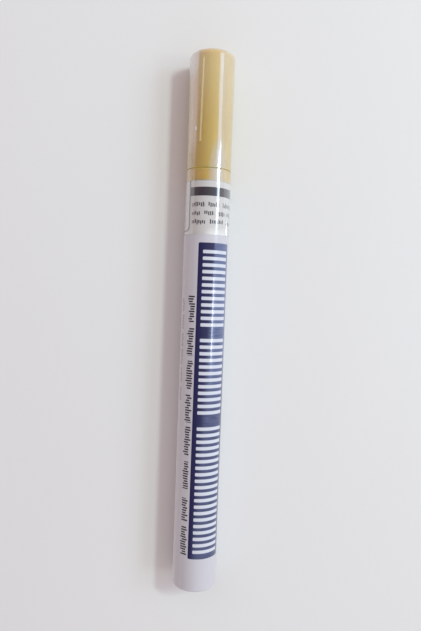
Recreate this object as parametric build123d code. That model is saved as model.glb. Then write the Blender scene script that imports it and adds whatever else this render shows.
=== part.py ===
from build123d import *
import os
from math import cos, pi, sin

# Paint marker with a spring valve, lying on its side on the plane Z = 0.
# The long axis runs along Y, cap towards +Y, and the origin is under the middle of its length.
# Every piece is drawn about the Y axis: an outline point is (radius, station), and a station
# is the distance from the tail's end. All sizes are millimetres.

# Overall sizes
barrel_diameter = 11.8
barrel_length = 106.4
collar_length = 3.6
cap_length = 30.0

# Barrel: a thin drawn tube, closed at the tail
barrel_wall = 0.5
tail_floor = 0.8
tail_edge_round = 0.7

# Shrink sleeve: thin film in a shallow seat, parted at the cap's lip
film_thickness = 0.06
film_gap = 0.02
film_edge_gap = 0.1
band_length = 13.4
film_end_angle = 65

# Front section: plug in the barrel, collar, neck under the cap, sealing land and nose
plug_length = 12.0
plug_lead_in = 0.6
plug_bead_height = 0.2
plug_bead_gap = 0.01
plug_bead_pitch = 3.4
plug_bead_count = 3
bead_crest_share = 1 / 2
bead_foot_share = 3 / 2
collar_edge_chamfer = 0.2
neck_length = 11.0
neck_gap = 0.3
neck_shoulder_length = 1.6
snap_bead_height = 0.25
snap_bead_place = 2.6
guide_bead_height = 0.2
guide_bead_place = 1.6
land_step = 1.15
land_length = 2.6
nose_step = 0.4
nose_wall = 0.85
nose_edge_chamfer = 0.3
chamber_front_wall = 2.0
chamber_cone_length = 2.2
seat_inset = 1.0
seat_ledge = 0.7

# Nib: fibre rod with a bullet tip
nib_diameter = 2.0
nib_bore_gap = 0.04
nib_exposed = 3.6
nib_bullet_length = 1.9
nib_headroom = 1.4
nib_rear_chamfer = 0.2
nib_channel_width = 0.5
nib_channel_depth = 0.35
nib_channel_stop = 2.4
nib_channel_count = 6

# Valve: washer, plunger, spring and cage in the plug's bore
press_travel = 2.0
plug_wall = 1.3
cage_gap = 0.03
cage_wall = 0.6
cage_floor = 1.0
cage_guide_gap = 0.1
cage_window_width = 2.6
cage_window_count = 4
washer_thickness = 1.2
washer_gap = 0.05
head_flow_gap = 0.4
head_overlap = 0.7
head_rim_length = 1.0
seat_gap = 0.05
stem_radius = 0.9
stem_reach = 3.0
boss_gap = 0.15
boss_length = 1.0
tail_fin_gap = 0.6
tail_fin_thickness = 0.5
tail_fin_rest_gap = 0.1
spring_length = 11.6
spring_wire = 0.4
spring_wire_side_count = 8
spring_rim_gap = 0.5
spring_seat_gap = 0.02
spring_turn_count = 6.5
spring_flat_turn_count = 1 / 4
spring_blend_turn_count = 1 / 4

# Mixing ball: loose in the paint, lying on the low side of the barrel
ball_diameter = 5.0
ball_gap = 0.1
ball_place = 14.0

# Cap shell and the soft inner cap that its ribs grip
cap_wall = 0.8
cap_top_wall = 1.4
cap_top_round = 1.3
cap_inner_chamfer = 0.5
cap_lip_chamfer = 0.15
cap_rib_thickness = 0.8
cap_rib_clearance = 1.5
cap_rib_count = 6
snap_groove_gap = 0.12
inner_cap_wall = 0.7
inner_cap_floor = 0.8
inner_cap_gap = 0.05
inner_cap_fit_gap = 0.02
inner_cap_mouth_gap = 0.5
inner_cap_taper_length = 3.0
inner_cap_taper = 0.7
inner_cap_top_gap = 0.9

# How far cutting and joining shapes run past the faces that they meet
overrun = 0.2

# Stations along the axis, from the tail's end
overall_length = barrel_length + collar_length + cap_length
collar_front = barrel_length + collar_length
sleeve_start = barrel_length - band_length
plug_rear = barrel_length - plug_length
neck_front = collar_front + neck_length
land_start = neck_front + neck_shoulder_length
land_end = land_start + land_length
cap_inner_top = overall_length - cap_top_wall
nib_tip = cap_inner_top - inner_cap_floor - nib_headroom
nose_end = nib_tip - nib_exposed
chamber_front = neck_front - chamber_front_wall
seat_shoulder = barrel_length - seat_inset
washer_rear = seat_shoulder - washer_thickness
nib_rear = seat_shoulder + stem_reach

# Radii of the shells, from the outside in
barrel_radius = barrel_diameter / 2
barrel_bore = barrel_radius - barrel_wall
film_seat_depth = film_thickness + film_gap
sleeve_seat_radius = barrel_radius - film_seat_depth
film_inner_radius = barrel_radius - film_thickness
cap_bore = sleeve_seat_radius - cap_wall
neck_radius = cap_bore - neck_gap
land_radius = neck_radius - land_step
nose_base_radius = land_radius - nose_step
inner_cap_bore = land_radius + inner_cap_gap
inner_cap_radius = inner_cap_bore + inner_cap_wall
nib_radius = nib_diameter / 2
nib_bore = nib_radius + nib_bore_gap
nose_tip_radius = nib_bore + nose_wall
ball_radius = ball_diameter / 2

# Radii of the valve, from the plug inwards
plug_radius = barrel_bore - plug_bead_gap - plug_bead_height
valve_bore = plug_radius - plug_wall
chamber_radius = valve_bore - seat_ledge
cage_radius = valve_bore - cage_gap
cage_inner_radius = cage_radius - cage_wall
head_radius = cage_inner_radius - head_flow_gap
seat_hole = head_radius - head_overlap
spring_mean_radius = head_radius - spring_rim_gap - spring_wire / 2
spring_inner_radius = spring_mean_radius - spring_wire / 2
tail_fin_radius = spring_inner_radius - tail_fin_gap

# The valve's sealing cone stands at 45 degrees, so its rise equals its run
cone_radius_at_washer = seat_hole - seat_gap
cone_front = washer_rear + cone_radius_at_washer - stem_radius
cone_rear = washer_rear - head_radius + cone_radius_at_washer
head_rear = cone_rear - head_rim_length
cage_floor_front = head_rear - spring_length
cage_rear = cage_floor_front - cage_floor
tail_fin_end = cage_rear + press_travel + tail_fin_rest_gap


def turned(*corners):
    """Solid turned about the long axis from a closed outline of (radius, station) corners."""
    return revolve(make_face(Polyline(*corners, close=True)), Axis.Y)


def turned_rounded(corners, rounds):
    """The same, with some corners rounded: rounds pairs a corner with its radius."""
    outline = make_face(Polyline(*corners, close=True))
    for corner, radius in rounds:
        outline = fillet(outline.vertices().sort_by_distance(corner)[0], radius)
    return revolve(outline, Axis.Y)


def ring_bead(radius, station, height):
    """Bead with sloping sides that stands on the given radius, all round the axis."""
    foot = height * bead_foot_share
    crest = height * bead_crest_share
    return turned(
        (radius - overrun, station - foot),
        (radius, station - foot),
        (radius + height, station - crest),
        (radius + height, station + crest),
        (radius, station + foot),
        (radius - overrun, station + foot),
    )


def round_the_axis(count, shape):
    """Copies of a shape, evenly spaced about the long axis."""
    return [Rot(0, 360 / count * i, 0) * shape for i in range(count)]


def bar(width, near, far, start, end):
    """Bar along the axis: its section is width across, from near to far above the axis."""
    return Pos(0, (start + end) / 2, (near + far) / 2) * Box(width, end - start, far - near)


def biarc(start, start_heading, end, end_heading):
    """Two tangent arcs from start to end that keep the headings at both ends."""
    across = end - start
    sweep_sum = start_heading + end_heading
    along = across.dot(sweep_sum)
    bend = 2 * (1 - start_heading.dot(end_heading))
    reach = ((along**2 + bend * across.dot(across)) ** (1 / 2) - along) / bend
    near = start + start_heading * reach
    far = end - end_heading * reach
    middle = (near + far) / 2
    return [
        TangentArc(start, middle, tangent=start_heading),
        TangentArc(middle, end, tangent=far - near),
    ]


def make_barrel():
    tail_edge = (barrel_radius, 0)
    return turned_rounded(
        [
            (0, 0),
            tail_edge,
            (barrel_radius, sleeve_start),
            (sleeve_seat_radius, sleeve_start),
            (sleeve_seat_radius, barrel_length),
            (barrel_bore, barrel_length),
            (barrel_bore, tail_floor),
            (0, tail_floor),
        ],
        [(tail_edge, tail_edge_round)],
    )


def make_front_section():
    collar_edge_radius = sleeve_seat_radius - collar_edge_chamfer
    body = turned(
        (valve_bore, plug_rear),
        (plug_radius - plug_lead_in, plug_rear),
        (plug_radius, plug_rear + plug_lead_in),
        (plug_radius, barrel_length),
        (collar_edge_radius, barrel_length),
        (sleeve_seat_radius, barrel_length + collar_edge_chamfer),
        (sleeve_seat_radius, collar_front - collar_edge_chamfer),
        (collar_edge_radius, collar_front),
        (neck_radius, collar_front),
        (neck_radius, neck_front),
        (land_radius, land_start),
        (land_radius, land_end),
        (nose_base_radius, land_end),
        (nose_tip_radius, nose_end - nose_edge_chamfer),
        (nose_tip_radius - nose_edge_chamfer, nose_end),
        (nib_bore, nose_end),
        (nib_bore, chamber_front),
        (chamber_radius, chamber_front - chamber_cone_length),
        (chamber_radius, seat_shoulder),
        (valve_bore, seat_shoulder),
    )
    # Sealing beads in the barrel, snap bead and guide bead under the cap
    for i in range(plug_bead_count):
        body += ring_bead(plug_radius, barrel_length - plug_bead_pitch * (i + 1 / 2), plug_bead_height)
    body += ring_bead(neck_radius, collar_front + snap_bead_place, snap_bead_height)
    body += ring_bead(neck_radius, neck_front - guide_bead_place, guide_bead_height)
    # Channels that bring the paint forward beside the nib
    channel = bar(
        nib_channel_width,
        0,
        nib_bore + nib_channel_depth,
        chamber_front - chamber_cone_length,
        nose_end - nib_channel_stop,
    )
    return body - round_the_axis(nib_channel_count, channel)


def make_nib():
    bullet_start = Vector(nib_radius, nib_tip - nib_bullet_length)
    shank = Polyline(
        (0, nib_tip),
        (0, nib_rear),
        (nib_radius - nib_rear_chamfer, nib_rear),
        (nib_radius, nib_rear + nib_rear_chamfer),
        bullet_start,
    )
    bullet = biarc(bullet_start, Vector(0, 1), Vector(0, nib_tip), Vector(-1, 0))
    return revolve(make_face(shank.edges() + bullet), Axis.Y)


def make_seat_washer():
    washer_radius = valve_bore - washer_gap
    return turned(
        (seat_hole, washer_rear),
        (washer_radius, washer_rear),
        (washer_radius, seat_shoulder),
        (seat_hole, seat_shoulder),
    )


def make_valve_plunger():
    boss_radius = spring_inner_radius - boss_gap
    body = turned(
        (0, head_rear - boss_length),
        (boss_radius, head_rear - boss_length),
        (boss_radius, head_rear),
        (head_radius, head_rear),
        (head_radius, cone_rear),
        (stem_radius, cone_front),
        (stem_radius, nib_rear),
        (0, nib_rear),
    )
    # Cross-shaped tail that runs inside the spring
    fin = bar(tail_fin_thickness, -tail_fin_radius, tail_fin_radius, tail_fin_end, head_rear)
    return body + fin + Rot(0, 90, 0) * fin


def make_valve_cage():
    guide_hole = tail_fin_radius + cage_guide_gap
    body = turned(
        (guide_hole, cage_rear),
        (cage_radius, cage_rear),
        (cage_radius, washer_rear),
        (cage_inner_radius, washer_rear),
        (cage_inner_radius, cage_floor_front),
        (guide_hole, cage_floor_front),
    )
    # Windows in the wall behind the plug, which let the paint in
    window = bar(
        cage_window_width,
        head_radius,
        cage_radius + overrun,
        cage_floor_front,
        plug_rear,
    )
    return body - round_the_axis(cage_window_count, window)


# The spring's centre line: flat end turns, a steady pitch between them and a short blend
spring_front = head_rear - spring_seat_gap - spring_wire / 2
spring_rear = cage_floor_front + spring_seat_gap + spring_wire / 2
spring_rising_turns = spring_turn_count - 2 * spring_flat_turn_count - spring_blend_turn_count
spring_pitch = (spring_front - spring_rear) / spring_rising_turns


def spring_rise(turn):
    """Turns' worth of pitch climbed at a turn, and how fast it climbs there, from 0 to 1."""
    if turn > spring_turn_count / 2:
        rise, rate = spring_rise(spring_turn_count - turn)
        return spring_rising_turns - rise, rate
    past_flat = max(turn - spring_flat_turn_count, 0)
    if past_flat < spring_blend_turn_count:
        return past_flat**2 / spring_blend_turn_count / 2, past_flat / spring_blend_turn_count
    return past_flat - spring_blend_turn_count / 2, 1


def spring_point(turn):
    """Point of the spring's centre line at a turn, and its direction there."""
    angle = 2 * pi * turn
    rise, rate = spring_rise(turn)
    around = 2 * pi * spring_mean_radius
    point = Vector(
        spring_mean_radius * cos(angle),
        spring_rear + spring_pitch * rise,
        spring_mean_radius * sin(angle),
    )
    heading = Vector(-around * sin(angle), spring_pitch * rate, around * cos(angle))
    return point, heading.normalized()


def make_valve_spring():
    quarter_turns = [i / 4 for i in range(round(spring_turn_count * 4) + 1)]
    joints = [spring_point(turn) for turn in quarter_turns]
    arcs = []
    for (start, start_heading), (end, end_heading) in zip(joints, joints[1:]):
        arcs += biarc(start, start_heading, end, end_heading)
    first_point, first_heading = joints[0]
    section = Plane(first_point, z_dir=first_heading) * RegularPolygon(spring_wire / 2, spring_wire_side_count)
    return sweep(section, Wire(arcs))


def spring_least_gap():
    """Least clear gap between the spring's own turns, measured on points of its centre line."""
    steps_per_turn = 24
    steps = range(round(spring_turn_count * steps_per_turn) + 1)
    points = [spring_point(step / steps_per_turn)[0] for step in steps]
    apart = steps_per_turn // 2
    return min(
        (points[j] - points[i]).length - spring_wire
        for i in steps
        for j in steps
        if j - i >= apart
    )


def make_mixing_ball():
    return Pos(0, ball_place, -(barrel_bore - ball_radius - ball_gap)) * Sphere(ball_radius)


def make_cap_shell():
    top_edge = (sleeve_seat_radius, overall_length)
    body = turned_rounded(
        [
            (cap_bore, collar_front),
            (sleeve_seat_radius - cap_lip_chamfer, collar_front),
            (sleeve_seat_radius, collar_front + cap_lip_chamfer),
            top_edge,
            (0, overall_length),
            (0, cap_inner_top),
            (cap_bore - cap_inner_chamfer, cap_inner_top),
            (cap_bore, cap_inner_top - cap_inner_chamfer),
        ],
        [(top_edge, cap_top_round)],
    )
    # Ribs that grip the inner cap, and the groove that the snap bead sits in
    rib = bar(
        cap_rib_thickness,
        inner_cap_radius + inner_cap_fit_gap,
        cap_bore + overrun,
        neck_front + cap_rib_clearance,
        cap_inner_top + overrun,
    )
    groove_height = snap_bead_height + snap_groove_gap
    body += round_the_axis(cap_rib_count, rib)
    return body - ring_bead(neck_radius, collar_front + snap_bead_place, groove_height)


def make_inner_cap():
    mouth = land_start + inner_cap_mouth_gap
    ceiling = cap_inner_top - inner_cap_floor
    return turned(
        (inner_cap_bore, mouth),
        (inner_cap_radius, mouth),
        (inner_cap_radius, cap_inner_top - inner_cap_taper_length),
        (inner_cap_radius - inner_cap_taper, cap_inner_top),
        (0, cap_inner_top),
        (0, ceiling),
        (nib_radius + inner_cap_top_gap, ceiling),
        (inner_cap_bore, land_end),
    )


def make_seal_band():
    band_start = sleeve_start + film_edge_gap
    band_end = collar_front - film_edge_gap
    return turned(
        (film_inner_radius, band_start),
        (barrel_radius, band_start),
        (barrel_radius, band_end),
        (film_inner_radius, band_end),
    )


def make_cap_film():
    film_start = collar_front + film_edge_gap
    inner_round = cap_top_round + film_gap
    round_centre = (sleeve_seat_radius - cap_top_round, overall_length - cap_top_round)
    outer_arc = CenterArc(round_centre, inner_round + film_thickness, 0, film_end_angle)
    inner_arc = CenterArc(round_centre, inner_round, 0, film_end_angle)
    mouth = Line(outer_arc @ 1, inner_arc @ 1)
    wall = Polyline(
        inner_arc @ 0,
        (film_inner_radius, film_start),
        (barrel_radius, film_start),
        outer_arc @ 0,
    )
    return revolve(make_face([*wall.edges(), outer_arc, mouth, inner_arc]), Axis.Y)


pieces = {
    "barrel": make_barrel(),
    "front_section": make_front_section(),
    "seat_washer": make_seat_washer(),
    "valve_cage": make_valve_cage(),
    "valve_spring": make_valve_spring(),
    "valve_plunger": make_valve_plunger(),
    "nib": make_nib(),
    "mixing_ball": make_mixing_ball(),
    "seal_band": make_seal_band(),
    "cap_shell": make_cap_shell(),
    "inner_cap": make_inner_cap(),
    "cap_film": make_cap_film(),
}

# Lay the marker on its side, with the middle of its length over the origin
laid = Pos(0, -overall_length / 2, barrel_radius)
os.makedirs("parts", exist_ok=True)
for name, piece in pieces.items():
    export_step(laid * piece, f"parts/{name}.step")

print(f"spring: least gap between turns {spring_least_gap():.3f} mm, pitch {spring_pitch:.3f} mm")
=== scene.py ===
from math import pi, radians

import bpy
import numpy as np
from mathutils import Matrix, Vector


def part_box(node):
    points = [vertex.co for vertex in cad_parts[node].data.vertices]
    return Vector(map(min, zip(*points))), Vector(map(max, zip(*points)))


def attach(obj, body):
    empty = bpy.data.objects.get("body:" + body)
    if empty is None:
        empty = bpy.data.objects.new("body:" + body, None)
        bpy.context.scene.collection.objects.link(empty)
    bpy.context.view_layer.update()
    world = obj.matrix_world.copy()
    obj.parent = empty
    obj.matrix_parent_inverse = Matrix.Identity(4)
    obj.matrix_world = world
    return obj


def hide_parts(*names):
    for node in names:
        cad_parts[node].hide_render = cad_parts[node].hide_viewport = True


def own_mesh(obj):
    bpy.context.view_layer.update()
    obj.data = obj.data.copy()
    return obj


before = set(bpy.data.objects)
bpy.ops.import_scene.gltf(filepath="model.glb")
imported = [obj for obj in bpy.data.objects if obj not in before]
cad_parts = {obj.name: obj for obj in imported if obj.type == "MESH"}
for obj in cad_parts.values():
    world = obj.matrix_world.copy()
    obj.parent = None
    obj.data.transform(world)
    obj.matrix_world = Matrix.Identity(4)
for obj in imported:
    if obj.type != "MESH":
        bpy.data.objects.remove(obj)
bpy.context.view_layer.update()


# Barrel: a thin aluminium tube, drawn with a closed tail and open at the front. It is coated
# with a pale satin lacquer and printed in one pass: a navy panel with white rungs, and two rows
# of small dark marks beside it. The navy's right side is a paler streaky blue that grows towards
# the front: a painted sheen, with the coat's reflection painted into the ink.
mm = 0.001
barrel_low, barrel_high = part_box("barrel")
band_low, band_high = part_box("seal_band")
cap_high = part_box("cap_shell")[1]
barrel_radius = barrel_high.x
axis_height = barrel_high.z - barrel_radius
tail = barrel_low.y
sleeve_seat_radius = cap_high.x
barrel_wall = 0.5 * mm
tail_floor = 0.8 * mm
tail_edge_round = 0.7 * mm
mouth_round = 0.06 * mm
sleeve_edge_gap = 0.1 * mm
turned_columns = 192
arc_steps = 8
sharp_edge = radians(35)


def rounded_profile(corners, rounds):
    """Outline of (radius, station) corners, with an arc in place of each corner named in rounds.
    The arc's centre lies on the corner's bisector, and its points turn evenly between the
    two tangent points."""
    corners = [np.array(corner, float) for corner in corners]
    outline = []
    for i, corner in enumerate(corners):
        if i not in rounds:
            outline.append(corner[None])
            continue
        back = corners[i - 1] - corner
        ahead = corners[(i + 1) % len(corners)] - corner
        back /= np.linalg.norm(back)
        ahead /= np.linalg.norm(ahead)
        half = np.arccos(back @ ahead) / 2
        bisector = (back + ahead) / np.linalg.norm(back + ahead)
        centre = corner + bisector * rounds[i] / np.sin(half)
        sweep = np.linspace(-1, 1, arc_steps + 1)[:, None] * (pi / 2 - half)
        side = (ahead - back) / np.linalg.norm(ahead - back)
        outline.append(centre + rounds[i] * (side * np.sin(sweep) - bisector * np.cos(sweep)))
    return np.concatenate(outline)


def turned_points(radius, station, columns=turned_columns, height=axis_height):
    """Rings of points about an axis along Y: x = r sin a, z = height + r cos a, y = station.
    Radius and station hold one row per ring, and radius may also change round the ring."""
    angle = 2 * pi * np.arange(columns) / columns
    across = radius * np.sin(angle)
    up = height + radius * np.cos(angle)
    return np.stack(np.broadcast_arrays(across, station, up), -1)


def ring_mesh(name, rings, closed=True):
    """Mesh through rings of points: each ring is joined to the next one, and the last to the
    first where the outline is closed. Otherwise the first and last ring shrink to a pole."""
    count, columns = rings.shape[:2]
    ring = np.arange(count if closed else count - 1)[:, None]
    column = np.arange(columns)
    index = np.arange(count * columns).reshape(count, columns)
    ahead = (ring + 1) % count
    beside = (column + 1) % columns
    quads = np.stack(
        [index[ring, column], index[ring, beside], index[ahead, beside], index[ahead, column]], -1
    ).reshape(-1, 4)
    points = rings.reshape(-1, 3)
    fans = []
    if not closed:
        poles = rings[[0, -1]].mean(1)
        first, last = np.full((2, columns), len(points)) + [[0], [1]]
        points = np.concatenate([points, poles])
        fans = np.column_stack([first, beside, column]).tolist()
        fans += np.column_stack([last, index[-1, column], index[-1, beside]]).tolist()
    mesh = bpy.data.meshes.new(name)
    mesh.from_pydata(points, [], quads.tolist() + fans)
    mesh.polygons.foreach_set("use_smooth", np.ones(len(mesh.polygons), bool))
    mesh.set_sharp_from_angle(angle=sharp_edge)
    piece = bpy.data.objects.new(name, mesh)
    bpy.context.scene.collection.objects.link(piece)
    return piece


def put(tree, kind, inputs=(), **settings):
    """Add one node: settings are its own options, inputs pair a socket with a value or an output."""
    made = tree.nodes.new(kind)
    for option, value in settings.items():
        setattr(made, option, value)
    for socket, value in dict(inputs).items():
        if isinstance(value, bpy.types.NodeSocket):
            tree.links.new(value, made.inputs[socket])
        else:
            made.inputs[socket].default_value = value
    return made


def spaced(values):
    """The same values, with spaces for the underscores in their sockets' names."""
    return {socket.replace("_", " "): value for socket, value in values.items()}


def sums(tree, operation, *values, clamp=False):
    """Result of one Math node, whose values are numbers or other nodes' outputs."""
    inputs = dict(enumerate(values))
    return put(tree, "ShaderNodeMath", inputs, operation=operation, use_clamp=clamp).outputs[0]


def varied(tree, share, least, spread):
    """Value that goes from the least one up by the spread as the share goes from 0 to 1."""
    return sums(tree, "MULTIPLY_ADD", share, spread, least)


def smooth_rise(tree, value, start, end, low=0.0, high=1.0):
    """Smooth step from low to high, as the value goes from start to end."""
    inputs = {"Value": value, "From Min": start, "From Max": end, "To Min": low, "To Max": high}
    return put(tree, "ShaderNodeMapRange", inputs, interpolation_type="SMOOTHSTEP").outputs[0]


def inked(tree, ground, ink, mask):
    """Colour of the ground with an ink laid over it where the mask is 1."""
    inputs = {"Factor": mask, "A": ground, "B": ink}
    return put(tree, "ShaderNodeMix", inputs, data_type="RGBA").outputs["Result"]


def relief(tree, height, strength, distance):
    """Normal of a surface with a fine relief, whose height of 1 stands for the distance."""
    inputs = {"Strength": strength, "Distance": distance, "Height": height}
    return put(tree, "ShaderNodeBump", inputs).outputs[0]


def finish_shader(tree, colour, roughness, **others):
    """Shader of one finish, with its other sockets by name."""
    inputs = {"Base Color": colour, "Roughness": roughness, **spaced(others)}
    return put(tree, "ShaderNodeBsdfPrincipled", inputs).outputs[0]


def new_group(name, inputs, outputs):
    """Shader node group with these number sockets; gives its tree and its inputs."""
    tree = bpy.data.node_groups.new(name, "ShaderNodeTree")
    for in_out, sockets in (("INPUT", inputs), ("OUTPUT", outputs)):
        for socket in sockets:
            tree.interface.new_socket(socket, in_out=in_out, socket_type="NodeSocketFloat")
    return tree, put(tree, "NodeGroupInput").outputs


def use_group(tree, group, **values):
    """Place a group in a material, with its sockets' values by name; gives its outputs."""
    return put(tree, "ShaderNodeGroup", spaced(values), node_tree=group).outputs


def new_material(name):
    """Empty node material; gives the material and its tree."""
    material = bpy.data.materials.new(name)
    material.use_nodes = True
    material.node_tree.nodes.clear()
    return material, material.node_tree


def show(tree, shader):
    """Make a shader the one that the material shows."""
    put(tree, "ShaderNodeOutputMaterial", {"Surface": shader})


def finish_piece(piece, material, body, node):
    """Give a new piece its material and body, and hide the CAD node that it stands for."""
    piece.data.materials.append(material)
    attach(piece, body)
    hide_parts(node)


barrel_profile = rounded_profile(
    [
        (0, tail),
        (barrel_radius, tail),
        (barrel_radius, band_low.y - sleeve_edge_gap),
        (sleeve_seat_radius, band_low.y - sleeve_edge_gap),
        (sleeve_seat_radius, barrel_high.y),
        (barrel_radius - barrel_wall, barrel_high.y),
        (barrel_radius - barrel_wall, tail + tail_floor),
        (0, tail + tail_floor),
    ],
    {1: tail_edge_round, 4: mouth_round, 5: mouth_round},
)
barrel = ring_mesh(
    "barrel_tube",
    turned_points(barrel_profile[1:-1, :1], barrel_profile[1:-1, 1:]),
    closed=False,
)


def print_lie_group():
    """Where the print lies, in millimetres: round the barrel it is the turn from the top line times
    the radius, and along the barrel the distance from the tail."""
    tree, _ = new_group("print_lie", [], ["Around", "Along"])
    place = put(tree, "ShaderNodeTexCoord").outputs["Object"]
    place = put(tree, "ShaderNodeSeparateXYZ", {0: place}).outputs
    turn = sums(tree, "ARCTAN2", place["X"], sums(tree, "SUBTRACT", place["Z"], axis_height))
    around = sums(tree, "MULTIPLY", turn, barrel_radius / mm)
    along = sums(tree, "DIVIDE", sums(tree, "SUBTRACT", place["Y"], tail), mm)
    put(tree, "NodeGroupOutput", {"Around": around, "Along": along})
    return tree


def printed_patch_group():
    """One printed patch: 1 inside a rectangle with rounded corners and 0 outside, from its signed
    distance. That is the length of what lies past the straight edges, plus the depth inside
    the nearest edge, less the corner's radius. The mask falls across the soft edge."""
    sockets = ["Around", "Along", "Mid Around", "Mid Along", "Half Around", "Half Along", "Corner", "Soft"]
    tree, patch = new_group("printed_patch", sockets, ["Mask"])

    def reach(side):
        """How far a point lies past the straight part of the patch's edge, in one direction."""
        apart = sums(tree, "SUBTRACT", patch[side], patch["Mid " + side])
        straight = sums(tree, "SUBTRACT", patch["Half " + side], patch["Corner"])
        return sums(tree, "SUBTRACT", sums(tree, "ABSOLUTE", apart), straight)

    reach_around = reach("Around")
    reach_along = reach("Along")
    square_around = sums(tree, "POWER", sums(tree, "MAXIMUM", reach_around, 0), 2)
    square_along = sums(tree, "POWER", sums(tree, "MAXIMUM", reach_along, 0), 2)
    outside = sums(tree, "SQRT", sums(tree, "ADD", square_around, square_along))
    inside = sums(tree, "MINIMUM", sums(tree, "MAXIMUM", reach_around, reach_along), 0)
    distance = sums(tree, "SUBTRACT", sums(tree, "ADD", outside, inside), patch["Corner"])
    softened = sums(tree, "DIVIDE", distance, patch["Soft"])
    put(tree, "NodeGroupOutput", {"Mask": sums(tree, "SUBTRACT", 1 / 2, softened, clamp=True)})
    return tree


word_fill = (0.72, 0.2)
mark_fill = 0.62
mark_half = (0.25, 0.2)
mark_shift = (-0.15, 0.3)


def marked_row_group():
    """One row of small marks: blocks of uneven height in runs of uneven length. The row is cut
    into equal cells twice, for the runs and for the blocks. Each fills the first share of its
    cell, and the cell's number draws its random sizes."""
    sockets = ["Run", "Across", "Start", "End", "Middle", "Height", "Word", "Mark", "Seed"]
    tree, row = new_group("marked_row", sockets, ["Mask"])
    from_start = sums(tree, "SUBTRACT", row["Run"], row["Start"])

    def cells(size):
        """Share of its cell that lies behind a point, and the cell's random values."""
        place = sums(tree, "ADD", sums(tree, "DIVIDE", from_start, row[size]), row["Seed"])
        number = {"W": sums(tree, "FLOOR", place)}
        random = put(tree, "ShaderNodeTexWhiteNoise", number, noise_dimensions="1D").outputs
        return sums(tree, "FRACT", place), random

    word_share, word_random = cells("Word")
    in_word = sums(tree, "LESS_THAN", word_share, varied(tree, word_random["Value"], *word_fill))
    mark_share, mark_random = cells("Mark")
    in_mark = sums(tree, "LESS_THAN", mark_share, mark_fill)
    mark_random = put(tree, "ShaderNodeSeparateColor", {0: mark_random["Color"]}).outputs
    half = sums(tree, "MULTIPLY", varied(tree, mark_random[0], *mark_half), row["Height"])
    shift = sums(tree, "MULTIPLY", varied(tree, mark_random[1], *mark_shift), row["Height"])
    off_middle = sums(tree, "SUBTRACT", row["Across"], sums(tree, "ADD", row["Middle"], shift))
    in_height = sums(tree, "LESS_THAN", sums(tree, "ABSOLUTE", off_middle), half)
    after_start = sums(tree, "GREATER_THAN", from_start, 0)
    before_end = sums(tree, "LESS_THAN", row["Run"], row["End"])
    mask = in_word
    for limit in (in_height, in_mark, after_start, before_end):
        mask = sums(tree, "MULTIPLY", mask, limit)
    put(tree, "NodeGroupOutput", {"Mask": mask})
    return tree


def surface_unevenness_group():
    """Unevenness that any coat or moulding has: a slow mottle and a fine grain, each a noise of its
    size in millimetres. A stretch under 1 draws both out along the marker, and one over 1 round it."""
    tree, surface = new_group(
        "surface_unevenness", ["Mottle Size", "Grain Size", "Stretch"], ["Mottle", "Grain"]
    )
    place = put(tree, "ShaderNodeTexCoord").outputs["Object"]
    in_mm = {0: place, "Scale": 1 / mm}
    place = put(tree, "ShaderNodeVectorMath", in_mm, operation="SCALE").outputs[0]
    stretch = put(tree, "ShaderNodeCombineXYZ", {"X": 1.0, "Y": surface["Stretch"], "Z": 1.0})
    stretched = {0: place, 1: stretch.outputs[0]}
    place = put(tree, "ShaderNodeVectorMath", stretched, operation="MULTIPLY").outputs[0]

    def noise(size):
        """Noise whose features have this size."""
        inputs = {"Vector": place, "Scale": sums(tree, "DIVIDE", 1, surface[size]), "Detail": 3.0}
        return put(tree, "ShaderNodeTexNoise", inputs).outputs["Fac"]

    put(tree, "NodeGroupOutput", {"Mottle": noise("Mottle Size"), "Grain": noise("Grain Size")})
    return tree


print_lie = print_lie_group()
printed_patch = printed_patch_group()
marked_row = marked_row_group()
surface_unevenness = surface_unevenness_group()
print_soft = 0.12


def print_places(tree):
    """The places round and along the barrel, in millimetres, as a material reads them."""
    lie = use_group(tree, print_lie)
    return lie["Around"], lie["Along"]


def patch_place(around, along, half, corner, soft=print_soft):
    """Middle, half sizes round and along, corner radius and soft edge of a patch, in millimetres."""
    return {
        "Mid_Around": around, "Mid_Along": along, "Half_Around": half[0], "Half_Along": half[1],
        "Corner": corner, "Soft": soft,
    }


def patch_mask(tree, place, around, along):
    """Mask of one patch over the places round and along the barrel."""
    return use_group(tree, printed_patch, Around=around, Along=along, **place)["Mask"]


lacquer_white = (0.592, 0.578, 0.628, 1)
lacquer_shade = (0.562, 0.547, 0.603, 1)
lacquer_roughness = (0.34, 0.12)
lacquer_relief = (0.05, 0.02 * mm)
ink_navy = (0.001, 0.005, 0.068, 1)
# The paler streaky blue is a painted sheen: reflection of the room, painted into the panel's ink.
ink_painted_sheen = (0.115, 0.145, 0.285, 1)
ink_white = (0.625, 0.645, 0.735, 1)
ink_dark = (0.022, 0.020, 0.032, 1)
ink_grey = (0.20, 0.19, 0.22, 1)
panel = patch_place(around=2.75, along=50.0, half=(4.65, 41.05), corner=0.35)
# Where the painted sheen begins, how it drifts round, how it grows towards the front and how streaky it
# is.
painted_sheen_at_tail = -2.1
painted_sheen_drift = 0.044
painted_sheen_edge = 2.0
painted_sheen_rise = (40.0, 75.0)
painted_sheen_shares = (0.42, 1.0)
painted_sheen_contrast = 2.0
rung_pitch = 1.7
rung = patch_place(around=3.0, along=rung_pitch / 2, half=(3.65, 0.43), corner=0.2)
rung_groups = ((10.0, 20), (46.5, 12), (69.2, 12))
first_row = {
    "Middle": -3.3, "Start": 9.8, "End": 77.6, "Height": 2.2, "Word": 8.69, "Mark": 0.64, "Seed": 3.0,
}
second_row = {
    "Middle": -6.5, "Start": 50.0, "End": 77.0, "Height": 1.1, "Word": 4.65, "Mark": 0.4, "Seed": 41.0,
}


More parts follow.
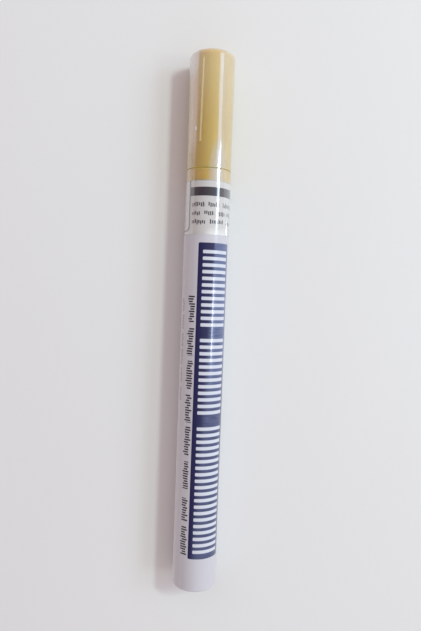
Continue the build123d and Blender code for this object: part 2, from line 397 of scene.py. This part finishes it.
def printed_lacquer():
    """Satin lacquer under a clear coat, with the panel, the rungs and the marks in it, and a painted
    sheen: paler streaky ink over the panel's right side in place of the coat's reflection. The
    painted sheen begins along a line that drifts round the barrel, and grows towards the front."""
    material, tree = new_material("printed_lacquer")
    around, along = print_places(tree)
    unevenness = use_group(tree, surface_unevenness, Mottle_Size=9.0, Grain_Size=0.35, Stretch=0.5)
    sheen_streaks = use_group(tree, surface_unevenness, Mottle_Size=6.0, Grain_Size=2.6, Stretch=8.0)
    # Painted sheen: past a line round the barrel the navy turns to a paler streaky blue, painted in place
    # of reflection.
    painted_sheen_line = sums(tree, "MULTIPLY_ADD", along, painted_sheen_drift, painted_sheen_at_tail)
    past_line = smooth_rise(tree, sums(tree, "SUBTRACT", around, painted_sheen_line), 0.0, painted_sheen_edge)
    up_barrel = smooth_rise(tree, along, *painted_sheen_rise, *painted_sheen_shares)
    painted_sheen = sums(tree, "MULTIPLY", past_line, up_barrel)
    streaked = sums(tree, "MULTIPLY", sheen_streaks["Grain"], painted_sheen_contrast)
    painted_sheen = sums(tree, "MULTIPLY", painted_sheen, streaked, clamp=True)
    panel_ink = inked(tree, ink_navy, ink_painted_sheen, painted_sheen)
    printed = inked(tree, lacquer_white, lacquer_shade, unevenness["Mottle"])
    printed = inked(tree, printed, panel_ink, patch_mask(tree, panel, around, along))
    for group_start, rung_count in rung_groups:
        from_start = sums(tree, "SUBTRACT", along, group_start)
        number = sums(tree, "FLOOR", sums(tree, "DIVIDE", from_start, rung_pitch))
        number = sums(tree, "MINIMUM", sums(tree, "MAXIMUM", number, 0), rung_count - 1)
        along_rung = sums(tree, "SUBTRACT", from_start, sums(tree, "MULTIPLY", number, rung_pitch))
        printed = inked(tree, printed, ink_white, patch_mask(tree, rung, around, along_rung))
    for row, ink in ((first_row, ink_dark), (second_row, ink_grey)):
        marks = use_group(tree, marked_row, Run=along, Across=around, **row)
        printed = inked(tree, printed, ink, marks["Mask"])
    roughness = varied(tree, unevenness["Grain"], *lacquer_roughness)
    finish = finish_shader(
        tree, printed, roughness, Normal=relief(tree, unevenness["Grain"], *lacquer_relief), IOR=1.3,
        Coat_Weight=1.0, Coat_Roughness=0.09, Coat_IOR=1.5, Sheen_Weight=1.0, Sheen_Roughness=0.3,
    )
    show(tree, finish)
    return material


finish_piece(barrel, printed_lacquer(), "barrel_unit", "barrel")


# Front section: one tan moulding that plugs into the barrel, with the collar, the neck that
# the cap pushes on to and the nose that guides the nib. It is moulded in one glossy plastic
# with the cap, and only the collar shows while the cap is on.
tan_deep = (0.61, 0.416, 0.097, 1)
tan_light = (0.675, 0.471, 0.13, 1)
tan_depth = (3.0, 1.7, 0.5)
plastic_grain = 0.1
plastic_relief = (0.04, 0.02 * mm)


def moulded_plastic(
    name, deep, light, roughness, mottle=6.0, grain=0.25, see_in=0.0, depth=(1.0, 1.0, 1.0)
):
    """Moulded plastic: two close shades mixed by a slow mottle, with a fine grain in the gloss.
    Light goes in by the share see_in and comes out again within the depth, in millimetres."""
    material, tree = new_material(name)
    unevenness = use_group(tree, surface_unevenness, Mottle_Size=mottle, Grain_Size=grain, Stretch=0.4)
    colour = inked(tree, deep, light, unevenness["Mottle"])
    grained = varied(tree, unevenness["Grain"], roughness, plastic_grain)
    finish = finish_shader(
        tree, colour, grained, Normal=relief(tree, unevenness["Grain"], *plastic_relief), IOR=1.5,
        Subsurface_Weight=see_in, Subsurface_Radius=depth, Subsurface_Scale=mm,
    )
    show(tree, finish)
    return material


def dress(node, material):
    """Give a CAD node its material."""
    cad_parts[node].data.materials.clear()
    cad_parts[node].data.materials.append(material)


tan_plastic = moulded_plastic(
    "tan_plastic", tan_deep, tan_light, roughness=0.24, see_in=0.8, depth=tan_depth
)
dress("front_section", tan_plastic)


# Seat washer: a ring punched from black rubber sheet, clamped between the front section's
# shoulder and the valve cage. The valve closes on its rear face.
rubber_black = (0.018, 0.018, 0.019, 1)
rubber_grey = (0.045, 0.045, 0.046, 1)
washer_rubber = moulded_plastic(
    "washer_rubber", rubber_black, rubber_grey, roughness=0.7, mottle=0.8, grain=0.12
)
dress("seat_washer", washer_rubber)


# Valve cage and plunger: natural white plastic mouldings. The cage is pressed into the plug's
# bore, and the plunger slides in it behind the nib and shuts on the washer.
valve_shade = (0.70, 0.70, 0.66, 1)
valve_white = (0.80, 0.80, 0.77, 1)
valve_plastic = moulded_plastic("valve_plastic", valve_shade, valve_white, roughness=0.36, mottle=3.0)
dress("valve_cage", valve_plastic)
dress("valve_plunger", valve_plastic)


# Valve spring: round steel wire wound cold into a compression spring with closed ends. It sits
# loose between the cage's floor and the plunger's head, and shortens as the nib is pressed.
spring_low, spring_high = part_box("valve_spring")
spring_wire = 0.4 * mm
spring_turns = 6.5
flat_turns = 0.25
blend_turns = 0.25
wire_sides = 16
steps_per_turn = 48


def spring_climb(turn):
    """Share of the spring's rise at a turn: none in the flat end turns, a short parabola as a
    blend, then an even climb, and the same backwards at the other end."""
    def from_end(turns):
        """Climb, in turns, at a number of turns from the nearer end."""
        past = np.maximum(turns - flat_turns, 0)
        return np.where(past < blend_turns, past**2 / blend_turns / 2, past - blend_turns / 2)

    rising = spring_turns - 2 * flat_turns - blend_turns
    near = from_end(np.minimum(turn, spring_turns - turn))
    return np.where(turn < spring_turns / 2, near, rising - near) / rising


def wound_wire():
    """Tube round a helix: each centre point carries a circle, spanned by the direction away
    from the axis and the direction square to that and to the wire."""
    turn = np.linspace(0, spring_turns, round(spring_turns * steps_per_turn) + 1)
    angle = 2 * pi * turn
    mean_radius = spring_high.x - spring_wire / 2
    rear = spring_low.y + spring_wire / 2
    front = spring_high.y - spring_wire / 2
    away = np.stack([np.cos(angle), 0 * angle, np.sin(angle)], -1)
    centre = mean_radius * away
    centre[:, 1] = rear + (front - rear) * spring_climb(turn)
    centre[:, 2] += axis_height
    heading = np.gradient(centre, axis=0)
    heading /= np.linalg.norm(heading, axis=1, keepdims=True)
    square = np.cross(heading, away)
    side = 2 * pi * np.arange(wire_sides) / wire_sides
    circle = away[:, None] * np.cos(side)[:, None] + square[:, None] * np.sin(side)[:, None]
    return centre[:, None] + circle * spring_wire / 2


steel_dark = (0.42, 0.42, 0.43, 1)
steel_bright = (0.68, 0.68, 0.69, 1)
steel_mottle = 0.14
steel_relief = (0.05, 0.01 * mm)


def bare_metal(name, dark, bright, roughness, stretch, grain):
    """Bare metal: two close greys mixed by a drawn-out grain, with a mottle in the gloss."""
    material, tree = new_material(name)
    unevenness = use_group(tree, surface_unevenness, Mottle_Size=1.5, Grain_Size=grain, Stretch=stretch)
    colour = inked(tree, dark, bright, unevenness["Grain"])
    mottled = varied(tree, unevenness["Mottle"], roughness, steel_mottle)
    normal = relief(tree, unevenness["Grain"], *steel_relief)
    show(tree, finish_shader(tree, colour, mottled, Normal=normal, Metallic=1.0))
    return material


spring = ring_mesh("wound_spring", wound_wire(), closed=False)
spring_steel = bare_metal("spring_steel", steel_dark, steel_bright, roughness=0.2, stretch=3.0, grain=0.15)
finish_piece(spring, spring_steel, "barrel_unit", "valve_spring")
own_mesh(spring)


# Nib: a rod of bonded fibres, ground to a bullet tip. It slides in the nose's bore, draws the
# paint forward and pushes the valve's plunger back when it is pressed.
nib_low, nib_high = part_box("nib")
nib_radius = nib_high.x
bullet_length = 1.9 * mm
bullet_rings = 18
bullet_end_angle = 0.02
nib_rear_round = 0.2 * mm
fibre_ridges = 31
fibre_ridge_height = 0.006 * mm


def nib_rings():
    """Bullet: an ellipse quarter for the tip, a straight shank and a rounded rear, with faint
    ridges round it where the fibres lie."""
    quarter = np.linspace(pi / 2, bullet_end_angle, bullet_rings)
    tip_radius = nib_radius * np.sin(quarter)
    tip_station = nib_high.y - bullet_length * (1 - np.cos(quarter))
    shank = [(0, nib_low.y), (nib_radius, nib_low.y), (nib_radius, nib_high.y)]
    rear = rounded_profile(shank, {1: nib_rear_round})[1:-1]
    radius = np.concatenate([rear[:, 0], tip_radius])[:, None]
    station = np.concatenate([rear[:, 1], tip_station])[:, None]
    angle = 2 * pi * np.arange(turned_columns) / turned_columns
    ridge = fibre_ridge_height * (1 + np.cos(fibre_ridges * angle)) / 2
    return turned_points(radius - ridge * radius / nib_radius, station)


fibre_shade = (0.62, 0.58, 0.48, 1)
fibre_white = (0.82, 0.79, 0.70, 1)
fibre_roughness = (0.75, 0.15)
fibre_relief = (0.3, 0.03 * mm)


def bonded_fibre():
    """Bonded fibre: two close shades in long fine strands, which also stand up a little."""
    material, tree = new_material("nib_fibre")
    strands = use_group(tree, surface_unevenness, Mottle_Size=0.5, Grain_Size=0.07, Stretch=0.04)
    colour = inked(tree, fibre_shade, fibre_white, strands["Grain"])
    roughness = varied(tree, strands["Mottle"], *fibre_roughness)
    normal = relief(tree, strands["Grain"], *fibre_relief)
    show(tree, finish_shader(tree, colour, roughness, Normal=normal))
    return material


nib = ring_mesh("fibre_nib", nib_rings(), closed=False)
finish_piece(nib, bonded_fibre(), "nib_unit", "nib")


# Mixing ball: a ground and polished steel ball. It is loose in the paint, and lies on the low
# side of the barrel until the marker is shaken.
ball_low, ball_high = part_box("mixing_ball")
ball_radius = (ball_high.y - ball_low.y) / 2
ball_columns = 64
ball_rings = 40
pole_angle = 0.02
latitude = np.linspace(pole_angle, pi - pole_angle, ball_rings)[:, None]
ball = ring_mesh(
    "steel_ball",
    turned_points(
        ball_radius * np.sin(latitude),
        ball_low.y + ball_radius - ball_radius * np.cos(latitude),
        columns=ball_columns,
        height=(ball_low.z + ball_high.z) / 2,
    ),
    closed=False,
)
ball_steel = bare_metal("ball_steel", steel_dark, steel_bright, roughness=0.06, stretch=1.0, grain=0.4)
finish_piece(ball, ball_steel, "loose_ball", "mixing_ball")


# Cap shell: the same tan plastic as the front section, moulded with ribs inside that grip the
# inner cap. It pushes over the neck until its lip meets the collar.
dress("cap_shell", tan_plastic)


# Inner cap: a soft white thimble pressed between the cap's ribs. It closes round the nose and
# keeps the nib wet.
seal_shade = (0.72, 0.72, 0.70, 1)
seal_white = (0.82, 0.82, 0.80, 1)
dress("inner_cap", moulded_plastic("seal_plastic", seal_shade, seal_white, roughness=0.42, mottle=4.0))


# Seal band: the lower part of the shrink sleeve. The film is clear over the collar and printed
# white over the barrel's front, with a dark bar, rows of small marks and a thin frame line. It
# has shrunk tight, with faint ripples and one slanting fold. Painted highlights lie in its colour:
# paler print near the lower edge on the right, and a pale patch in the clear film over the collar.
film_thickness = 0.06 * mm
film_columns = 240
ripple_depth = 0.012 * mm
ripple_length = 23 * mm
ripple_counts = (17, 11)
ripple_sways = (2, 3)
ripple_pace = 0.7


def film_ripple(angle, station):
    """Depth of the film's lengthwise ripples: two waves round the sleeve whose phases sway along it."""
    drift = 2 * pi * station / ripple_length
    first = np.cos(ripple_counts[0] * angle + np.sin(drift) * ripple_sways[0])
    second = np.cos(ripple_counts[1] * angle - np.cos(drift * ripple_pace) * ripple_sways[1])
    return ripple_depth * (2 + first + second) / 4


def crease(angle, station, start, end, width, height):
    """Raised line in the film, from one (angle, station) to another: a bell curve across it,
    which fades out at both ends."""
    across = np.array([barrel_radius * (end[0] - start[0]), end[1] - start[1]])
    length = np.linalg.norm(across)
    way = across / length
    away_angle = (angle - start[0] + pi) % (2 * pi) - pi
    away = np.stack(np.broadcast_arrays(barrel_radius * away_angle, station - start[1]), -1)
    along = away @ way / length
    off = away @ np.array([-way[1], way[0]])
    fade = np.clip(4 * along * (1 - along), 0, 1)
    return height * fade * np.exp(-((off / width) ** 2))


def sleeve_mesh(name, radius, station, ripple):
    """Closed film wall: the outer face follows radius less the ripple's depth, and the inner
    face runs back at the film's thickness below the smooth radius."""
    outer = turned_points(radius - ripple, station, film_columns)
    inner = turned_points(radius - film_thickness + 0 * ripple, station, film_columns)[::-1]
    return ring_mesh(name, np.concatenate([outer, inner]))


film_angle = 2 * pi * np.arange(film_columns) / film_columns
band_rings = 68
band_station = np.linspace(band_low.y, band_high.y, band_rings)[:, None]
fold_height = 0.03 * mm
fold_width = 0.25 * mm
fold_start = (radians(56), tail + 98.5 * mm)
fold_end = (radians(66), tail + 92.4 * mm)
fold = crease(film_angle, band_station, fold_start, fold_end, fold_width, fold_height)
band_ripple = film_ripple(film_angle, band_station) + fold_height - fold
band = sleeve_mesh("sleeve_band", barrel_radius + 0 * band_station, band_station, band_ripple)

film_white = (1.0, 1.0, 1.0, 1)
# Pale grey painted into the film as painted highlights beside the lamps' mirror image.
highlight_grey = (0.80, 0.80, 0.79, 1)
film_roughness = 0.07
painted_light_roughness = 0.5
straight_mirror = 0.055
edge_mirror = 0.64
edge_growth = 1.1
ridge_relief = (1.0, 0.25 * mm)
light_patch_stretch = 3.0


def mixed(tree, share, first, second):
    """Shader that turns from the first into the second as the share goes from 0 to 1."""
    return put(tree, "ShaderNodeMixShader", {0: share, 1: first, 2: second}).outputs[0]


def clear_through(tree):
    """Shader of a clear film, which lets everything through."""
    return put(tree, "ShaderNodeBsdfTransparent", {"Color": film_white}).outputs[0]


def painted_light_patch(tree, body, around, along, place, share, colour):
    """Shader of what lies under the film, with a pale rough patch over it that is painted light:
    painted highlights beside the lamps' mirror image and painted reflections of the pale table, as
    the callers place them. The patch's places along the barrel are divided by the stretch, so its
    soft ends are longer."""
    mask = patch_mask(tree, place, around, sums(tree, "DIVIDE", along, light_patch_stretch))
    painted_light_finish = finish_shader(tree, colour, painted_light_roughness)
    return mixed(tree, sums(tree, "MULTIPLY", mask, share), body, painted_light_finish)


def slanted_mask(tree, place, slant, around, along):
    """Mask of a patch that leans: its middle moves round the barrel by the slant per millimetre."""
    off_middle = sums(tree, "SUBTRACT", along, place["Mid_Along"])
    return patch_mask(tree, place, sums(tree, "MULTIPLY_ADD", off_middle, -slant, around), along)


def under_film(tree, body, ridges):
    """Shader of what lies under the film's outer face, which mirrors more towards the edge of
    sight. Ridges is a mask of narrow lines that stand up from the film."""
    facing = put(tree, "ShaderNodeLayerWeight", {"Blend": 0.5}).outputs["Facing"]
    growth = sums(tree, "POWER", facing, edge_growth)
    mirror = varied(tree, growth, straight_mirror, edge_mirror - straight_mirror)
    front = sums(tree, "SUBTRACT", 1, put(tree, "ShaderNodeNewGeometry").outputs["Backfacing"])
    mirror = sums(tree, "MULTIPLY", mirror, front)
    normal = relief(tree, ridges, *ridge_relief)
    gloss = finish_shader(tree, film_white, film_roughness, Normal=normal, Metallic=1.0)
    return mixed(tree, mirror, body, gloss)


band_white = (0.60, 0.59, 0.585, 1)
band_shade = (0.565, 0.55, 0.55, 1)
band_roughness = (0.35, 0.15)
print_overlap = 0.1
print_end = (barrel_high.y - tail) / mm + print_overlap
print_fade = 0.5
bar = patch_place(around=4.0, along=104.0, half=(9.3, 1.12), corner=0.3)
frame_line = 0.2
frame_half = np.array([9.05, 7.4])
frame_place = {"around": -14.0, "along": 101.3, "corner": 1.2}
frame_outside = patch_place(half=frame_half, **frame_place)
frame_inside = patch_place(half=frame_half - 2 * frame_line, **frame_place)
band_rows = ((100.7, 4.3), (98.5, 3.4), (96.3, 5.0))
band_row = {"Start": -4.2, "End": 12.5, "Height": 1.4, "Mark": 0.5}
band_seed_step = 20.0
# Painted highlight: paler print near the band's lower edge, where the lamp's highlight falls.
edge_highlight = patch_place(around=2.9, along=93.2, half=(2.7, 1.1), corner=0.9, soft=1.7)
edge_highlight_share = 0.75
fold_line = patch_place(around=6.28, along=95.45, half=(0.1, 3.0), corner=0.1, soft=0.35)
fold_slant = -0.169
# Painted highlight: a pale patch in the film over the lip, around the lamp's mirror image.
lip_highlight = patch_place(around=2.7, along=35.6, half=(1.5, 2.4), corner=1.5, soft=3.0)
lip_highlight_share = 0.42


def printed_film():
    """Film with white print on its inside up to the collar, and clear past that. The bar, the frame
    line and the marks lie in the print, and the film's gloss over all of it."""
    material, tree = new_material("printed_film")
    around, along = print_places(tree)
    unevenness = use_group(tree, surface_unevenness, Mottle_Size=5.0, Grain_Size=0.4, Stretch=0.6)
    printed = inked(tree, band_white, band_shade, unevenness["Mottle"])
    printed = inked(tree, printed, ink_dark, patch_mask(tree, bar, around, along))
    in_frame = [patch_mask(tree, box, around, along) for box in (frame_outside, frame_inside)]
    printed = inked(tree, printed, ink_dark, sums(tree, "SUBTRACT", *in_frame, clamp=True))
    for number, (middle, word) in enumerate(band_rows):
        marks = use_group(
            tree, marked_row, Run=around, Across=along, Middle=middle, Word=word,
            Seed=band_seed_step * number, **band_row,
        )
        printed = inked(tree, printed, ink_dark, marks["Mask"])
    # Painted highlight: the print is mixed towards pale grey near its lower edge on the right.
    painted_edge_highlight = sums(tree, "MULTIPLY", patch_mask(tree, edge_highlight, around, along), edge_highlight_share)
    printed = inked(tree, printed, highlight_grey, painted_edge_highlight)
    roughness = varied(tree, unevenness["Grain"], *band_roughness)
    print_finish = finish_shader(tree, printed, roughness, Specular_IOR_Level=0.2)
    past_print = smooth_rise(tree, along, print_end, print_end + print_fade)
    # The clear film over the collar carries the painted highlight patch at the lip.
    clear = painted_light_patch(tree, clear_through(tree), around, along, lip_highlight, lip_highlight_share, highlight_grey)
    below = mixed(tree, past_print, print_finish, clear)
    show(tree, under_film(tree, below, slanted_mask(tree, fold_line, fold_slant, around, along)))
    return material


finish_piece(band, printed_film(), "barrel_unit", "seal_band")


# Cap film: the upper part of the same sleeve, clear all over. It has shrunk on to the cap and a
# little way over its rounded top edge. Its welded seam shows as a thin raised line with a small
# bubble beside it. Painted light lies in the film's colour: a painted highlight along the seam and
# a painted glint on the bubble, a painted sheen towards the top, painted highlights in long soft
# pale streaks beside the lamps' mirror image, and painted reflections of the pale table along the
# left side and at the top corner.
film_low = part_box("cap_film")[0]
cap_top_round = 1.3 * mm
film_end_angle = radians(65)
film_rings = 110
bend_rings = 12
seam_start = (radians(-24.7), tail + 112.5 * mm)
seam_end = (radians(-20.5), tail + 146.0 * mm)
seam_width = 0.16 * mm
bubble_around = -3.9
bubble_angle = bubble_around * mm / barrel_radius
bubble_start = (bubble_angle, tail + 119.2 * mm)
bubble_end = (bubble_angle, tail + 120.6 * mm)
bubble_width = 0.2 * mm

film_round = barrel_radius - sleeve_seat_radius + cap_top_round
round_start = cap_high.y - cap_top_round
straight = np.linspace(film_low.y, round_start, film_rings)[:-1]
bend = np.linspace(0, film_end_angle, bend_rings)
film_station = np.concatenate([straight, round_start + film_round * np.sin(bend)])[:, None]
bent_radius = barrel_radius - film_round + film_round * np.cos(bend)
film_radius = np.concatenate([np.full_like(straight, barrel_radius), bent_radius])[:, None]
cap_ripple = film_ripple(film_angle, film_station) + ripple_depth
cap_ripple -= crease(film_angle, film_station, seam_start, seam_end, seam_width, ripple_depth)
cap_ripple -= crease(film_angle, film_station, bubble_start, bubble_end, bubble_width, ripple_depth)
cap_film = sleeve_mesh("sleeve_cap_film", film_radius, film_station, cap_ripple)

# Warm milky colour painted along the seam and towards the top, as painted highlight and sheen.
painted_sheen_colour = (0.96, 0.83, 0.46, 1)
# Warm pale colour of a painted reflection of the table along the cap's left side.
flank_reflection_colour = (0.92, 0.73, 0.55, 1)
seam = patch_place(around=-2.35, along=127.0, half=(0.2, 10.5), corner=0.2, soft=0.3)
seam_slant = 0.013
seam_highlight = 0.5
bubble = patch_place(around=bubble_around, along=119.9, half=(0.16, 0.5), corner=0.16, soft=0.3)
top_sheen_rise = (118.0, 138.0)
top_sheen = 0.15
# Painted highlight: a long soft pale streak beside the lamp's mirror image, the whole cap's length.
long_highlight = patch_place(around=3.5, along=42.5, half=(1.0, 5.2), corner=1.0, soft=2.0)
long_highlight_share = 0.16
# Painted reflections: the pale table painted into the film along the left side and at the top-left corner.
flank_reflection = patch_place(around=-4.95, along=45.0, half=(1.15, 6.5), corner=0.9, soft=1.5)
flank_reflection_share = 0.42
top_corner_reflection = patch_place(around=-7.2, along=46.6, half=(3.0, 1.9), corner=1.0, soft=1.6)
top_corner_reflection_share = 0.55
# Patches of painted light on the cap film: painted highlights and painted reflections.
cap_light_patches = (
    (lip_highlight, lip_highlight_share, highlight_grey),
    (long_highlight, long_highlight_share, highlight_grey),
    (flank_reflection, flank_reflection_share, flank_reflection_colour),
    (top_corner_reflection, top_corner_reflection_share, film_white),
)


def clear_film():
    """Clear film, with painted light in its colour: a painted highlight along the raised seam, a
    painted sheen towards the top, painted highlights and reflections in long soft pale patches and
    a painted glint on the bubble, with the film's gloss over all of it."""
    material, tree = new_material("clear_film")
    around, along = print_places(tree)
    # Painted sheen rising towards the top, and a painted highlight along the real raised seam.
    painted_top_sheen = smooth_rise(tree, along, *top_sheen_rise, high=top_sheen)
    on_seam = slanted_mask(tree, seam, seam_slant, around, along)
    seam_and_top_sheen = sums(tree, "MULTIPLY_ADD", on_seam, seam_highlight, painted_top_sheen)
    below = mixed(tree, seam_and_top_sheen, clear_through(tree), finish_shader(tree, painted_sheen_colour, painted_light_roughness))
    for place, share, colour in cap_light_patches:
        below = painted_light_patch(tree, below, around, along, place, share, colour)
    # Painted glint: the bubble, a real small relief, is also painted white.
    on_bubble = patch_mask(tree, bubble, around, along)
    below = mixed(tree, on_bubble, below, finish_shader(tree, film_white, painted_light_roughness))
    show(tree, under_film(tree, below, on_bubble))
    return material


finish_piece(cap_film, clear_film(), "cap_unit", "cap_film")


# Table: a plain pale board with a faint mottle, which the marker lies on. It is a stage and no
# part of the marker.
table_size = 2.0
table_drop = 0.02 * mm
table_pale = (0.80, 0.80, 0.80, 1)
table_shade = (0.765, 0.765, 0.768, 1)
corners = np.array([(-1, -1), (1, -1), (1, 1), (-1, 1)]) * table_size
table_mesh = bpy.data.meshes.new("table")
table_points = np.column_stack([corners, np.full(len(corners), -table_drop)])
table_mesh.from_pydata(table_points, [], [(0, 1, 2, 3)])
table = bpy.data.objects.new("table", table_mesh)
bpy.context.scene.collection.objects.link(table)
table_top = moulded_plastic("table_top", table_shade, table_pale, roughness=0.45, mottle=60.0, grain=2.0)
table.data.materials.append(table_top)


# Light: a key lamp to the right towards the cap, which casts the shadow and isn't mirrored. Lower
# on the same side are a small bright lamp, a long dim bluish strip and a window, whose mirror
# images run along the marker. The room is bright on the right and dim on the left.
def area_lamp(name, direction, distance, size, level, colour):
    """Rectangular lamp at a distance in a direction, facing the marker. Its level is the
    radiance of its face, so that power = level x pi x area."""
    lamp = bpy.data.lights.new(name, "AREA")
    lamp.shape = "RECTANGLE"
    lamp.size, lamp.size_y = size
    lamp.energy = level * pi * size[0] * size[1]
    lamp.color = colour
    holder = bpy.data.objects.new(name, lamp)
    way = direction / np.linalg.norm(direction)
    holder.location = way * distance
    holder.rotation_euler = holder.location.to_track_quat("Z", "Y").to_euler()
    holder.visible_camera = False
    bpy.context.scene.collection.objects.link(holder)
    return holder


def leaning_right(angle, towards_cap):
    """Direction that leans to +X from straight up, with a share towards the cap."""
    return np.array([np.sin(radians(angle)), towards_cap, np.cos(radians(angle))])


key_lamp = area_lamp(
    "key_lamp", leaning_right(33.5, towards_cap=0.36), distance=0.6,
    size=(0.121, 0.034), level=87.0, colour=(0.79, 1.0, 0.93),
)
key_lamp.visible_glossy = False
area_lamp(
    "small_lamp", leaning_right(54.0, towards_cap=0.224), distance=0.9,
    size=(0.132, 0.19), level=7.6, colour=(0.8, 0.93, 1.0),
)
area_lamp(
    "strip_lamp", leaning_right(51, towards_cap=0.17), distance=0.9,
    size=(0.68, 0.27), level=2.0, colour=(0.4, 0.62, 1.0),
)
area_lamp(
    "window_lamp", leaning_right(47, towards_cap=-0.07), distance=0.9,
    size=(0.17, 0.12), level=10.0, colour=(0.9, 0.95, 1.0),
)

dim_side = (0.31, 0.215, 0.22, 1)
bright_side = (0.755, 0.71, 0.70, 1)
bright_rise = (radians(-40), radians(25))
far_end = (0.84, 0.71, 0.71, 1)
far_end_rise = (0.15, 0.6)
wall_colour = (0.72, 0.68, 0.685, 1)
wall_top_rise = (0.2, 0.34)
world = bpy.data.worlds.new("room")
world.use_nodes = True
room = world.node_tree
room.nodes.clear()
look = put(room, "ShaderNodeTexCoord").outputs["Generated"]
look = put(room, "ShaderNodeSeparateXYZ", {0: look}).outputs
lean = sums(room, "ARCTAN2", look["X"], sums(room, "MAXIMUM", look["Z"], 0))
ceiling = inked(room, dim_side, bright_side, smooth_rise(room, lean, *bright_rise))
ceiling = inked(room, ceiling, far_end, smooth_rise(room, look["Y"], *far_end_rise))
room_colour = inked(room, wall_colour, ceiling, smooth_rise(room, look["Z"], *wall_top_rise))
background = put(room, "ShaderNodeBackground", {"Color": room_colour, "Strength": 1.0})
put(room, "ShaderNodeOutputWorld", {"Surface": background.outputs[0]})
bpy.context.scene.world = world


# Camera: almost straight above the marker, turned a little, so that the marker leans to the
# right. Its lens is set by the focal length in pixels of the picture's height.
image_height = 631
focal_pixels = 553
camera_place = (1.63 * mm, 8.08 * mm, 152.9 * mm)
camera_tip = radians(-2.255)
camera_turn = radians(2.099)
camera_data = bpy.data.cameras.new("camera")
camera_data.sensor_fit = "VERTICAL"
camera_data.lens = camera_data.sensor_height * focal_pixels / image_height
camera = bpy.data.objects.new("camera", camera_data)
camera.location = camera_place
camera.rotation_euler = (camera_tip, 0, camera_turn)
bpy.context.scene.collection.objects.link(camera)
bpy.context.scene.camera = camera
bpy.context.scene.view_settings.view_transform = "Standard"
